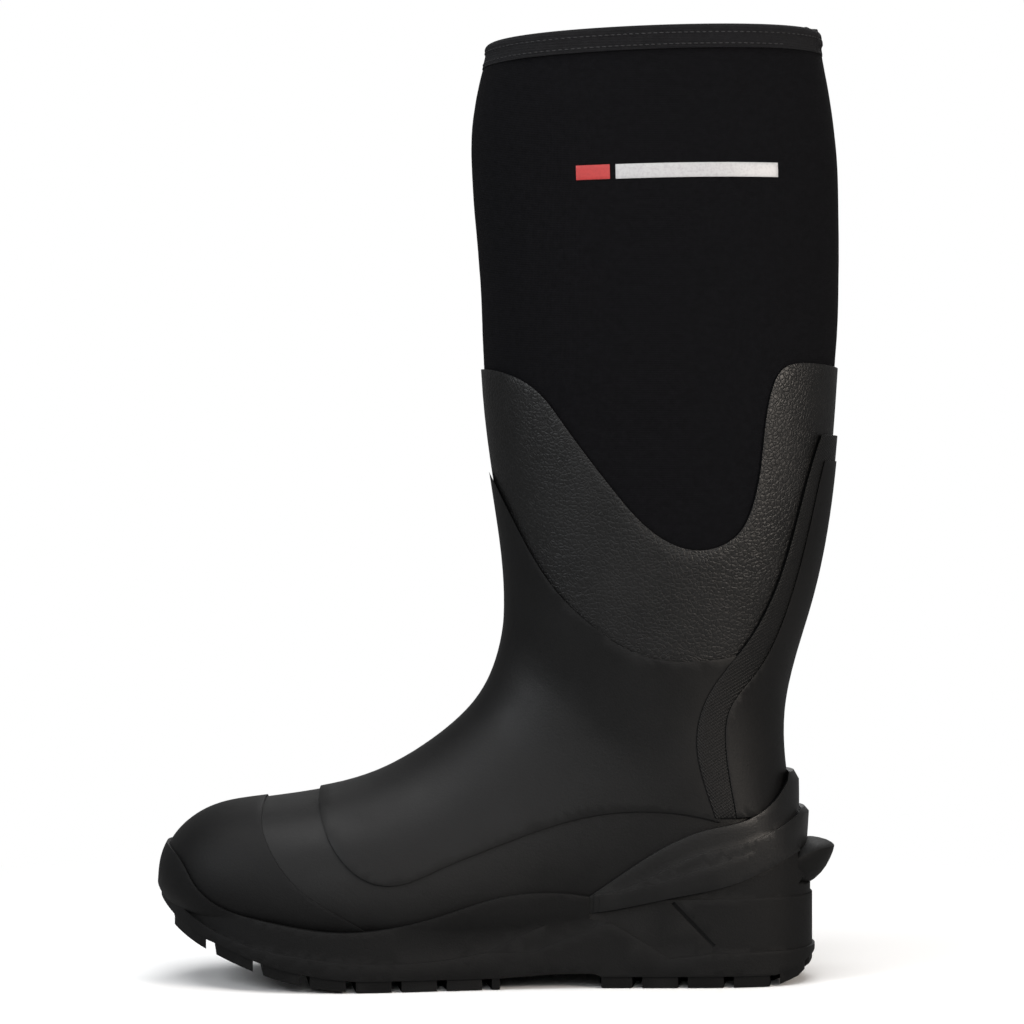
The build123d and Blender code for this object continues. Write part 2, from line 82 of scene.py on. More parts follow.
# ------------------------------------------------------------------ settings
class BootSizes(bpy.types.PropertyGroup):
    """Sizes that a user would change."""

    edge_radius: bpy.props.FloatProperty(
        name="Moulded edge", description="Rounding along the rubber layers' edges",
        default=0.00045, min=0.0, unit="LENGTH",
    )
    sole_edge_radius: bpy.props.FloatProperty(
        name="Sole edge", description="Rounding along the outsole's edges",
        default=0.0006, min=0.0, unit="LENGTH",
    )
    tape_roll: bpy.props.FloatProperty(
        name="Tape roll", description="How round the binding tape folds over the rim",
        default=0.0022, min=0.0, unit="LENGTH",
    )
    stitch_pitch: bpy.props.FloatProperty(
        name="Stitch pitch", description="From one stitch to the next",
        default=0.0027, min=0.001, unit="LENGTH",
    )
    stitch_length: bpy.props.FloatProperty(
        name="Stitch length", description="Thread that shows in one stitch",
        default=0.0020, min=0.0005, unit="LENGTH",
    )
    thread: bpy.props.FloatProperty(
        name="Thread", description="Thickness of the sewing thread",
        default=0.00042, min=0.0001, unit="LENGTH",
    )
    bar_height: bpy.props.FloatProperty(
        name="Printed bars", description="Height of the two plain bars on the leg",
        default=0.0065, min=0.001, unit="LENGTH",
    )
    ripple: bpy.props.FloatProperty(
        name="Cloth ripple", description="How far the soft leg swells and dips",
        default=0.0007, min=0.0, unit="LENGTH",
    )


class BootColours(bpy.types.PropertyGroup):
    """Colours that a user would change."""

    neoprene: bpy.props.FloatVectorProperty(
        name="Neoprene", description="Knitted face of the leg", subtype="COLOR", size=3,
        min=0.0, max=1.0, default=(0.0030, 0.0030, 0.0036),
    )
    lining: bpy.props.FloatVectorProperty(
        name="Lining", description="Cloth inside the leg", subtype="COLOR", size=3,
        min=0.0, max=1.0, default=(0.0120, 0.0120, 0.0130),
    )
    tape: bpy.props.FloatVectorProperty(
        name="Binding tape", description="Elastic tape round the rim", subtype="COLOR", size=3,
        min=0.0, max=1.0, default=(0.0060, 0.0060, 0.0068),
    )
    rubber: bpy.props.FloatVectorProperty(
        name="Rubber", description="Moulded rubber of the overshoe", subtype="COLOR", size=3,
        min=0.0, max=1.0, default=(0.0034, 0.0034, 0.0035),
    )
    sole: bpy.props.FloatVectorProperty(
        name="Sole rubber", description="Harder rubber of the outsole", subtype="COLOR", size=3,
        min=0.0, max=1.0, default=(0.0034, 0.0034, 0.0035),
    )
    red_bar: bpy.props.FloatVectorProperty(
        name="Short bar", description="Printed bar nearer the shin", subtype="COLOR", size=3,
        min=0.0, max=1.0, default=(0.33, 0.022, 0.021),
    )
    pale_bar: bpy.props.FloatVectorProperty(
        name="Long bar", description="Printed bar nearer the calf", subtype="COLOR", size=3,
        min=0.0, max=1.0, default=(0.36, 0.36, 0.37),
    )


# ------------------------------------------------------------------ modelling helpers
def deselect():
    """Leave nothing selected."""
    bpy.ops.object.select_all(action="DESELECT")


def pick(piece):
    """Make one piece the only selected and the active one."""
    deselect()
    piece.select_set(True)
    bpy.context.view_layer.objects.active = piece


def finish_modifier(piece, kind, **values):
    """Add a modifier, set it and apply it."""
    pick(piece)
    bpy.ops.object.modifier_add(type=kind)
    modifier = piece.modifiers[-1]
    for key, value in values.items():
        setattr(modifier, key, value)
    bpy.ops.object.modifier_apply(modifier=modifier.name)


def skin_of(node, name):
    """A copy of a CAD node with its loose triangles joined into one skin."""
    piece = bpy.data.objects.new(name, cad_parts[node].data.copy())
    piece.data.name = name
    piece.data.materials.clear()
    bpy.context.scene.collection.objects.link(piece)
    pick(piece)
    bpy.ops.object.mode_set(mode="EDIT")
    bpy.ops.mesh.select_all(action="SELECT")
    bpy.ops.mesh.customdata_custom_splitnormals_clear()
    bpy.ops.mesh.remove_doubles(threshold=0.000004)
    bpy.ops.object.mode_set(mode="OBJECT")
    return piece


def smooth(piece, degrees=32):
    """Smooth shading that breaks at true edges."""
    pick(piece)
    bpy.ops.object.shade_smooth_by_angle(angle=math.radians(degrees))


def dress(piece, body, *materials, slot=None):
    """Give a finished piece its materials and its body."""
    for material in materials:
        piece.data.materials.append(material)
    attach(piece, body)


def ease(piece, direction, distance, share):
    """Push a piece's points along an axis, each by its own share of a distance."""
    group = piece.vertex_groups.new(name="share")
    for vertex in piece.data.vertices:
        part = share(vertex.co)
        if part > 0.0:
            group.add([vertex.index], min(part, 1.0), "REPLACE")
    finish_modifier(
        piece, "DISPLACE", direction=direction, strength=distance, mid_level=0.0,
        vertex_group="share",
    )
    piece.vertex_groups.clear()


def ramp(value, start, length):
    """From 0 at the start to 1 after the length, clamped."""
    return min(1.0, max(0.0, (value - start) / length))


def settle(piece):
    """Put a piece's place, turn and size into its mesh."""
    pick(piece)
    bpy.ops.object.transform_apply(location=True, rotation=True, scale=True)


# ------------------------------------------------------------------ node helpers
def new_group(name, inputs, outputs):
    """An empty shader node group with named sockets: inputs are (name, kind, default)."""
    group = bpy.data.node_groups.new(name, "ShaderNodeTree")
    for label, kind, default in inputs:
        socket = group.interface.new_socket(name=label, in_out="INPUT", socket_type=kind)
        socket.default_value = default
    for label, kind in outputs:
        group.interface.new_socket(name=label, in_out="OUTPUT", socket_type=kind)
    start = group.nodes.new("NodeGroupInput")
    end = group.nodes.new("NodeGroupOutput")
    return group, start, end


def put(tree, kind, **values):
    """Add a node and set its own values."""
    node = tree.nodes.new(kind)
    for key, value in values.items():
        setattr(node, key, value)
    return node


def calc(tree, operation, first, second=None, third=None):
    """A Math node on sockets or plain numbers."""
    node = put(tree, "ShaderNodeMath", operation=operation)
    for index, value in enumerate((first, second, third)):
        if value is None:
            continue
        if isinstance(value, (int, float)):
            node.inputs[index].default_value = value
        else:
            tree.links.new(value, node.inputs[index])
    return node.outputs[0]


def noise(tree, vector, scale, detail=2.0, rough=0.5):
    """Noise on a vector, from 0 to 1."""
    node = put(tree, "ShaderNodeTexNoise")
    node.inputs["Scale"].default_value = scale
    node.inputs["Detail"].default_value = detail
    node.inputs["Roughness"].default_value = rough
    tree.links.new(vector, node.inputs["Vector"])
    return node.outputs["Fac"]


def spread(tree, value, low, high, out_low=0.0, out_high=1.0):
    """Map a value from one range to another, clamped."""
    node = put(tree, "ShaderNodeMapRange")
    for index, number in enumerate((low, high, out_low, out_high), start=1):
        node.inputs[index].default_value = number
    tree.links.new(value, node.inputs[0])
    return node.outputs[0]


def blend(tree, mask, first, second):
    """Mix two shaders of the stage by a mask."""
    mix = put(tree, "ShaderNodeMixShader")
    for index, socket in enumerate((mask, first, second)):
        tree.links.new(socket, mix.inputs[index])
    return mix.outputs[0]


# ------------------------------------------------------------------ effects shared by materials
def make_grain():
    """Fine moulded grain with broad patches, for smooth rubber."""
    group, start, end = new_group(
        "Moulded Grain",
        [("Vector", "NodeSocketVector", (0, 0, 0)), ("Fine", "NodeSocketFloat", 0.5)],
        [("Height", "NodeSocketFloat"), ("Patches", "NodeSocketFloat")],
    )
    fine = noise(group, start.outputs["Vector"], 2600.0, 2.0)
    coarse = noise(group, start.outputs["Vector"], 900.0, 3.0)
    height = calc(group, "MULTIPLY_ADD", fine, start.outputs["Fine"], coarse)
    patches = noise(group, start.outputs["Vector"], 34.0, 4.0, 0.55)
    group.links.new(height, end.inputs["Height"])
    group.links.new(patches, end.inputs["Patches"])
    return group


def make_leather():
    """Pebbled leather grain: uneven cells with narrow creases between them."""
    group, start, end = new_group(
        "Pebble Grain",
        [("Vector", "NodeSocketVector", (0, 0, 0)), ("Cells", "NodeSocketFloat", 560.0)],
        [("Height", "NodeSocketFloat"), ("Crease Shade", "NodeSocketFloat")],
    )
    shift = put(group, "ShaderNodeTexNoise")
    shift.inputs["Scale"].default_value = 260.0
    group.links.new(start.outputs["Vector"], shift.inputs["Vector"])
    pull = put(group, "ShaderNodeVectorMath", operation="SCALE")
    pull.inputs["Scale"].default_value = 0.0016
    group.links.new(shift.outputs["Color"], pull.inputs[0])
    bent = put(group, "ShaderNodeVectorMath", operation="ADD")
    group.links.new(start.outputs["Vector"], bent.inputs[0])
    group.links.new(pull.outputs[0], bent.inputs[1])
    cells = put(group, "ShaderNodeTexVoronoi", feature="DISTANCE_TO_EDGE")
    group.links.new(bent.outputs[0], cells.inputs["Vector"])
    group.links.new(start.outputs["Cells"], cells.inputs["Scale"])
    pebble = spread(group, cells.outputs["Distance"], 0.0, 0.30)
    rounded = calc(group, "POWER", pebble, 0.55)
    fine = noise(group, start.outputs["Vector"], 2400.0, 2.0)
    height = calc(group, "MULTIPLY_ADD", fine, 0.18, rounded)
    # Mask for painted shade: darkest in the narrow creases between the pebbles, where shade
    # falls.
    crease_shade = spread(group, cells.outputs["Distance"], 0.0, 0.07, 1.0, 0.0)
    group.links.new(height, end.inputs["Height"])
    group.links.new(crease_shade, end.inputs["Crease Shade"])
    return group


def make_hatch():
    """Two crossing sets of fine raised ribs, leaning up and back."""
    group, start, end = new_group(
        "Cross Hatch",
        [("Vector", "NodeSocketVector", (0, 0, 0)), ("Ribs", "NodeSocketFloat", 2400.0)],
        [("Height", "NodeSocketFloat")],
    )
    apart = put(group, "ShaderNodeSeparateXYZ")
    group.links.new(start.outputs["Vector"], apart.inputs[0])
    ribs = []
    for lean in (1.15, -0.55):
        across = calc(group, "MULTIPLY_ADD", apart.outputs["X"], lean, apart.outputs["Z"])
        turns = calc(group, "MULTIPLY", across, start.outputs["Ribs"])
        wave = calc(group, "SINE", turns)
        ribs.append(spread(group, wave, -0.2, 0.9))
    both = calc(group, "MULTIPLY_ADD", ribs[1], 0.45, ribs[0])
    group.links.new(both, end.inputs["Height"])
    return group


def make_knit():
    """Jersey knit: rows of loops round the leg, with slubs."""
    group, start, end = new_group(
        "Jersey Knit",
        [
            ("Vector", "NodeSocketVector", (0, 0, 0)),
            ("Rows", "NodeSocketFloat", 9000.0),
            ("Loops", "NodeSocketFloat", 420.0),
        ],
        [("Height", "NodeSocketFloat"), ("Slub", "NodeSocketFloat")],
    )
    apart = put(group, "ShaderNodeSeparateXYZ")
    group.links.new(start.outputs["Vector"], apart.inputs[0])
    angle = calc(group, "ARCTAN2", apart.outputs["Y"], apart.outputs["X"])
    columns = calc(group, "SINE", calc(group, "MULTIPLY", angle, start.outputs["Loops"]))
    fold = calc(group, "ABSOLUTE", columns)
    lift = calc(group, "MULTIPLY_ADD", fold, 0.00012, apart.outputs["Z"])
    rows = calc(group, "SINE", calc(group, "MULTIPLY", lift, start.outputs["Rows"]))
    slub = noise(group, start.outputs["Vector"], 420.0, 4.0, 0.6)
    loops = calc(group, "MULTIPLY_ADD", rows, 0.30, fold)
    height = calc(group, "MULTIPLY_ADD", slub, 1.1, loops)
    group.links.new(height, end.inputs["Height"])
    group.links.new(slub, end.inputs["Slub"])
    return group


def make_dust():
    """Sparse pale specks of lint and stable dust."""
    group, start, end = new_group(
        "Lint Specks",
        [
            ("Vector", "NodeSocketVector", (0, 0, 0)),
            ("Density", "NodeSocketFloat", 60.0),
            ("Size", "NodeSocketFloat", 0.05),
        ],
        [("Mask", "NodeSocketFloat")],
    )
    cells = put(group, "ShaderNodeTexVoronoi", feature="F1")
    group.links.new(start.outputs["Vector"], cells.inputs["Vector"])
    group.links.new(start.outputs["Density"], cells.inputs["Scale"])
    near = calc(group, "LESS_THAN", cells.outputs["Distance"], start.outputs["Size"])
    apart = put(group, "ShaderNodeSeparateXYZ")
    group.links.new(cells.outputs["Color"], apart.inputs[0])
    chosen = calc(group, "GREATER_THAN", apart.outputs["X"], 0.86)
    group.links.new(calc(group, "MULTIPLY", near, chosen), end.inputs["Mask"])
    return group


def effect(name):
    """A shared effect, built the first time that it is needed."""
    makers = {
        "Moulded Grain": make_grain,
        "Pebble Grain": make_leather,
        "Cross Hatch": make_hatch,
        "Jersey Knit": make_knit,
        "Lint Specks": make_dust,
    }
    return bpy.data.node_groups.get(name) or makers[name]()


class Finish:
    """A material in the making: one Principled BSDF on Object coordinates."""

    def __init__(self, name, roughness, **sockets):
        self.material = bpy.data.materials.new(name)
        self.material.use_nodes = True
        self.tree = self.material.node_tree
        self.shader = self.tree.nodes["Principled BSDF"]
        self.shader.inputs["Roughness"].default_value = roughness
        for label, value in sockets.items():
            self.shader.inputs[label.replace("_", " ")].default_value = value
        self.place = put(self.tree, "ShaderNodeTexCoord").outputs["Object"]

    def group(self, name, **values):
        """Place a shared effect with its own values."""
        node = put(self.tree, "ShaderNodeGroup", node_tree=effect(name))
        self.tree.links.new(self.place, node.inputs["Vector"])
        for label, value in values.items():
            node.inputs[label].default_value = value
        return node

    def tone(self, mask, first, second):
        """Mix two colours, each a tuple or a socket, by a mask and return the socket."""
        mix = put(self.tree, "ShaderNodeMix", data_type="RGBA")
        for index, colour in ((6, first), (7, second)):  # the colour sockets A and B
            if isinstance(colour, tuple):
                mix.inputs[index].default_value = (*colour, 1.0)
            else:
                self.tree.links.new(colour, mix.inputs[index])
        self.tree.links.new(mask, mix.inputs[0])
        return mix.outputs[2]

    def colour(self, socket):
        """Use a socket as the base colour."""
        self.tree.links.new(socket, self.shader.inputs["Base Color"])

    def rough(self, mask, low, high):
        """Let the roughness follow a mask between two values."""
        value = spread(self.tree, mask, 0.25, 0.75, low, high)
        self.tree.links.new(value, self.shader.inputs["Roughness"])

    def centre_on_leg(self):
        """Move the coordinates' origin to the leg's middle, for patterns that run round it."""
        centre = put(self.tree, "ShaderNodeMapping")
        centre.inputs["Location"].default_value = (-LEG_MIDDLE, 0.0, 0.0)
        self.tree.links.new(self.place, centre.inputs["Vector"])
        self.place = centre.outputs["Vector"]

    def bump(self, height, depth, strength):
        """Raise the surface by a height map."""
        node = put(self.tree, "ShaderNodeBump")
        node.inputs["Strength"].default_value = strength
        node.inputs["Distance"].default_value = depth
        self.tree.links.new(height, node.inputs["Height"])
        self.tree.links.new(node.outputs["Normal"], self.shader.inputs["Normal"])


def shade(colour, factor):
    """A colour made lighter or darker, as a tuple."""
    return tuple(min(1.0, channel * factor) for channel in colour[:3])


def material(name):
    """A finish by name, made once, with a name that no material of the frame has."""
    full = name + " finish"
    return bpy.data.materials.get(full) or FINISHES[name](full)


# ------------------------------------------------------------------ finishes
def rubber_finish(name, roughness=(0.40, 0.56), tone=1.0, shine=0.20):
    """Smooth moulded rubber with fine grain, faint patches and a few specks; a tone above 1 makes
    a lighter copy of it, as painted light.
    """
    base = bpy.context.scene.boot_colours.rubber
    finish = Finish(name, 0.5, Specular_IOR_Level=shine)
    grains = finish.group("Moulded Grain", Fine=0.6)
    specks = finish.group("Lint Specks", Density=75.0, Size=0.022)
    patches = finish.tone(
        grains.outputs["Patches"], shade(base, 0.75 * tone), shade(base, 1.35 * tone),
    )
    finish.colour(finish.tone(specks.outputs["Mask"], patches, (0.25, 0.25, 0.24)))
    finish.rough(grains.outputs["Patches"], *roughness)
    finish.bump(grains.outputs["Height"], 0.00012, 0.55)
    return finish.material


def collar_finish(name):
    """Leather-grained rubber of the collar panel, with painted shade in the grain's creases."""
    base = bpy.context.scene.boot_colours.rubber
    finish = Finish(name, 0.45, Specular_IOR_Level=0.31)
    pebbles = finish.group("Pebble Grain", Cells=520.0)
    grains = finish.group("Moulded Grain", Fine=0.4)
    patches = finish.tone(grains.outputs["Patches"], shade(base, 0.9), shade(base, 1.5))
    # The grain's creases are painted darker: painted shade.
    finish.colour(finish.tone(pebbles.outputs["Crease Shade"], patches, shade(base, 0.45)))
    finish.rough(grains.outputs["Patches"], 0.36, 0.52)
    finish.bump(pebbles.outputs["Height"], 0.00020, 0.62)
    return finish.material


def strap_finish(name):
    """Cross-hatched rubber of the ankle strap, painted darker between the ribs and lighter on
    their tops as painted shade and highlight.
    """
    base = bpy.context.scene.boot_colours.rubber
    finish = Finish(name, 0.5, Specular_IOR_Level=0.24)
    ribs = finish.group("Cross Hatch", Ribs=4200.0)
    grains = finish.group("Moulded Grain", Fine=0.4)
    # Painted shade between the ribs and painted highlight on their tops, taken from the ribs'
    # height.
    finish.colour(finish.tone(ribs.outputs["Height"], shade(base, 0.6), shade(base, 1.15)))
    finish.rough(grains.outputs["Patches"], 0.42, 0.58)
    finish.bump(ribs.outputs["Height"], 0.00022, 0.7)
    return finish.material


def sole_finish(name):
    """Harder, duller rubber of the outsole, with dust specks scattered over it."""
    base = bpy.context.scene.boot_colours.sole
    finish = Finish(name, 0.6, Specular_IOR_Level=0.16)
    grains = finish.group("Moulded Grain", Fine=0.9)
    specks = finish.group("Lint Specks", Density=90.0, Size=0.03)
    patches = finish.tone(grains.outputs["Patches"], shade(base, 0.8), shade(base, 1.5))
    finish.colour(finish.tone(specks.outputs["Mask"], patches, (0.22, 0.21, 0.19)))
    finish.rough(grains.outputs["Patches"], 0.50, 0.68)
    finish.bump(grains.outputs["Height"], 0.00016, 0.6)
    return finish.material


def cloth_finish(name, base, depth, lint, sheen):
    """Knitted cloth on the leg, laid round its middle."""
    finish = Finish(name, 0.92, Specular_IOR_Level=0.05, Sheen_Weight=sheen, Sheen_Roughness=0.45)
    finish.centre_on_leg()
    knit = finish.group("Jersey Knit", Rows=7800.0, Loops=330.0)
    specks = finish.group("Lint Specks", Density=48.0, Size=0.020)
    tone = finish.tone(knit.outputs["Slub"], shade(base, 0.55), shade(base, 1.6))
    if lint:
        tone = finish.tone(specks.outputs["Mask"], tone, (0.30, 0.30, 0.30))
    finish.colour(tone)
    finish.bump(knit.outputs["Height"], depth, 0.6)
    return finish.material


def neoprene_finish(name):
    """Matte knitted face of the neoprene."""
    return cloth_finish(name, bpy.context.scene.boot_colours.neoprene, 0.00012, True, 0.004)


def lining_finish(name):
    """Softer knitted lining."""
    return cloth_finish(name, bpy.context.scene.boot_colours.lining, 0.00016, False, 0.02)


def tape_finish(name):
    """Ribbed elastic tape."""
    base = bpy.context.scene.boot_colours.tape
    finish = Finish(name, 0.8, Specular_IOR_Level=0.10, Sheen_Weight=0.008)
    finish.centre_on_leg()
    knit = finish.group("Jersey Knit", Rows=5200.0, Loops=520.0)
    finish.colour(finish.tone(knit.outputs["Slub"], shade(base, 0.6), shade(base, 1.7)))
    finish.bump(knit.outputs["Height"], 0.00018, 0.8)
    return finish.material


def thread_finish(name):
    """Twisted polyester thread."""
    finish = Finish(name, 0.55, Specular_IOR_Level=0.25)
    twist = noise(finish.tree, finish.place, 3000.0)
    finish.colour(finish.tone(twist, (0.010, 0.010, 0.011), (0.030, 0.030, 0.032)))
    finish.bump(twist, 0.00008, 0.5)
    return finish.material


def print_finish(name, base):
    """Rubbery print, slightly rubbed."""
    finish = Finish(name, 0.42)
    wear = noise(finish.tree, finish.place, 900.0, 4.0, 0.6)
    rubbed = spread(finish.tree, wear, 0.30, 0.55)
    finish.colour(finish.tone(rubbed, shade(base, 0.82), shade(base, 1.0)))
    finish.bump(wear, 0.00005, 0.4)
    return finish.material


def red_print(name):
    """Red printed bar."""
    return print_finish(name, bpy.context.scene.boot_colours.red_bar)


def pale_print(name):
    """Pale printed bar."""
    return print_finish(name, bpy.context.scene.boot_colours.pale_bar)


def foam_finish(name):
    """Closed-cell foam."""
    finish = Finish(name, 0.8)
    cells = put(finish.tree, "ShaderNodeTexVoronoi")
    cells.inputs["Scale"].default_value = 900.0
    finish.tree.links.new(finish.place, cells.inputs["Vector"])
    tone = finish.tone(cells.outputs["Distance"], (0.045, 0.045, 0.048), (0.085, 0.085, 0.09))
    finish.colour(tone)
    finish.bump(cells.outputs["Distance"], 0.0003, 0.5)
    return finish.material


def footbed_finish(name):
    """Brushed cloth on the footbed."""
    finish = Finish(name, 0.95, Specular_IOR_Level=0.15, Sheen_Weight=0.15)
    nap = noise(finish.tree, finish.place, 700.0, 5.0, 0.65)
    finish.colour(finish.tone(nap, (0.020, 0.020, 0.022), (0.070, 0.070, 0.074)))
    finish.bump(nap, 0.0004, 0.6)
    return finish.material


def board_finish(name):
    """Pressed fibre board."""
    finish = Finish(name, 0.85)
    fibres = noise(finish.tree, finish.place, 380.0, 6.0, 0.7)
    finish.colour(finish.tone(fibres, (0.26, 0.19, 0.12), (0.42, 0.33, 0.22)))
    finish.bump(fibres, 0.0002, 0.5)
    return finish.material


def stiffener_finish(name):
    """Milky moulded plastic."""
    finish = Finish(name, 0.5)
    clouds = noise(finish.tree, finish.place, 120.0, 3.0)
    finish.colour(finish.tone(clouds, (0.50, 0.48, 0.42), (0.64, 0.62, 0.56)))
    finish.rough(clouds, 0.42, 0.58)
    return finish.material


def steel_finish(name):
    """Rolled spring steel."""
    finish = Finish(name, 0.35, Metallic=1.0)
    rolling = noise(finish.tree, finish.place, 500.0, 3.0)
    finish.colour(finish.tone(rolling, (0.45, 0.46, 0.48), (0.62, 0.63, 0.65)))
    finish.rough(rolling, 0.28, 0.44)
    return finish.material


FINISHES = {
    "smooth rubber": rubber_finish,
    # A lighter copy of the same rubber (tone 1.15): painted light for the toe's lit top.
    "toe rubber": lambda name: rubber_finish(name, (0.48, 0.60), 1.15, 0.14),
    # A lighter copy of the same rubber (tone 1.2): a painted highlight where the flares catch the
    # warm lamp.
    "flare rubber": lambda name: rubber_finish(name, (0.34, 0.48), 1.2, 0.30),
    "grained rubber": collar_finish,
    "hatched rubber": strap_finish,
    "sole rubber": sole_finish,
    "neoprene": neoprene_finish,
    "lining": lining_finish,
    "binding tape": tape_finish,
    "thread": thread_finish,
    "red print": red_print,
    "pale print": pale_print,
    "foam": foam_finish,
    "footbed cloth": footbed_finish,
    "fibre board": board_finish,
    "stiffener": stiffener_finish,
    "steel": steel_finish,
}


# ------------------------------------------------------------------ operators
class BOOT_OT_stage(bpy.types.Operator):
    """Floor, soft studio lamps and the camera"""

    bl_idname = "boot.stage"
    bl_label = "Stage"

    # Name, place, width, power, colour and the point that the lamp looks at.
    lamps = (
        ("top", (-0.10, -0.30, 1.45), 1.3, 16.5, (1.0, 1.0, 1.0), (0.0, 0.0, 0.10)),
        ("key", (-0.95, -0.80, 0.80), 0.6, 7.6, (0.94, 0.97, 1.0), (0.0, 0.0, 0.20)),
        ("sheen", (0.80, -0.72, 0.44), 0.25, 6.5, (1.0, 0.90, 0.80), (0.09, 0.0, 0.12)),
        ("front", (0.0, -1.6, 0.75), 0.9, 6.5, (1.0, 1.0, 1.0), (0.0, 0.0, 0.15)),
        ("rear", (0.25, 1.0, 1.0), 0.9, 6.0, (1.0, 1.0, 1.0), (0.0, 0.0, 0.10)),
    )

    def execute(self, context):
        scene = context.scene
        scene.view_settings.view_transform = "Standard"

        data = bpy.data.cameras.new("camera")
        data.sensor_width = 36.0
        data.lens = 114.6
        data.clip_start, data.clip_end = 0.05, 50.0
        camera = bpy.data.objects.new("camera", data)
        scene.collection.objects.link(camera)
        camera.location = (0.0074, -1.5, 0.2133)
        camera.rotation_euler = (math.radians(90), 0, 0)
        scene.camera = camera

        deselect()
        bpy.ops.mesh.primitive_plane_add(size=12.0, location=(0, 0, -0.0003))
        floor = context.object
        floor.name = "floor"
        floor.data.materials.append(self.floor_finish())
        settle(floor)

        for name, place, size, power, tint, target in self.lamps:
            lamp = bpy.data.lights.new(name, "AREA")
            lamp.shape = "DISK"
            lamp.size = size
            lamp.energy = power
            lamp.color = tint
            stand = bpy.data.objects.new(name, lamp)
            stand.location = place
            aim = Vector(target) - Vector(place)
            stand.rotation_euler = aim.to_track_quat("-Z", "Y").to_euler()
            scene.collection.objects.link(stand)

        scene.world = self.studio()
        return {"FINISHED"}

    def studio(self):
        """A world that lights dimly and that the camera sees as white."""
        world = bpy.data.worlds.new("studio")
        world.use_nodes = True
        tree = world.node_tree
        light = tree.nodes["Background"]
        light.inputs["Strength"].default_value = 0.22
        white = put(tree, "ShaderNodeBackground")
        for background in (light, white):
            background.inputs["Color"].default_value = (1.0, 1.0, 1.0, 1.0)
        seen = put(tree, "ShaderNodeLightPath").outputs["Is Camera Ray"]
        both = blend(tree, seen, light.outputs[0], white.outputs[0])
        tree.links.new(both, tree.nodes["World Output"].inputs["Surface"])
        return world

    def floor_finish(self):
        """Pale matte floor: lit round the boot, white far away and dim in reflections."""
        paper = bpy.data.materials.new("paper floor")
        paper.use_nodes = True
        tree = paper.node_tree
        shader = tree.nodes["Principled BSDF"]
        shader.inputs["Base Color"].default_value = (0.93, 0.93, 0.93, 1.0)
        shader.inputs["Roughness"].default_value = 0.95
        shader.inputs["Specular IOR Level"].default_value = 0.1
        glow = put(tree, "ShaderNodeEmission")
        dark = put(tree, "ShaderNodeBsdfDiffuse")
        dark.inputs["Color"].default_value = (0.25, 0.25, 0.25, 1.0)
        paths = put(tree, "ShaderNodeLightPath")
        away = put(tree, "ShaderNodeVectorMath", operation="LENGTH")
        tree.links.new(put(tree, "ShaderNodeTexCoord").outputs["Object"], away.inputs[0])
        far = spread(tree, away.outputs["Value"], 0.20, 0.55)
        white = calc(tree, "MULTIPLY", paths.outputs["Is Camera Ray"], far)
        seen = blend(tree, white, shader.outputs[0], glow.outputs[0])
        both = blend(tree, paths.outputs["Is Glossy Ray"], seen, dark.outputs[0])
        tree.links.new(both, tree.nodes["Material Output"].inputs["Surface"])
        return paper


class BOOT_OT_sock(bpy.types.Operator):
    """The padded neoprene sock, lined inside"""

    bl_idname = "boot.sock"
    bl_label = "Neoprene sock"

    def execute(self, context):
        sizes = context.scene.boot_sizes
        sock = skin_of("neoprene_bootie", "neoprene_sock")
        leg = sock.vertex_groups.new(name="soft leg")
        low, high = SOFT_LEG
        for vertex in sock.data.vertices:
            height = vertex.co.z
            weight = ramp(height, low, 0.06) * ramp(-height, -high, 0.02)
            if weight > 0:
                leg.add([vertex.index], weight, "REPLACE")
        swell = bpy.data.textures.new("leg swell", "CLOUDS")
        swell.noise_scale = 0.055
        swell.noise_depth = 1
        finish_modifier(
            sock, "DISPLACE", texture=swell, texture_coords="LOCAL", strength=2 * sizes.ripple,
            mid_level=0.5, vertex_group="soft leg",
        )
        sock.vertex_groups.clear()
        dress(sock, "boot", material("neoprene"), material("lining"), slot="neoprene")
        # Faces that look across the hollow at the other wall are the lining.
        for face in sock.data.polygons:
            start = face.center + face.normal * 0.0005
            hit = sock.ray_cast(start, face.normal, distance=0.2)[0]
            face.material_index = 1 if hit else 0
        smooth(sock, 40)
        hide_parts("neoprene_bootie")
        return {"FINISHED"}


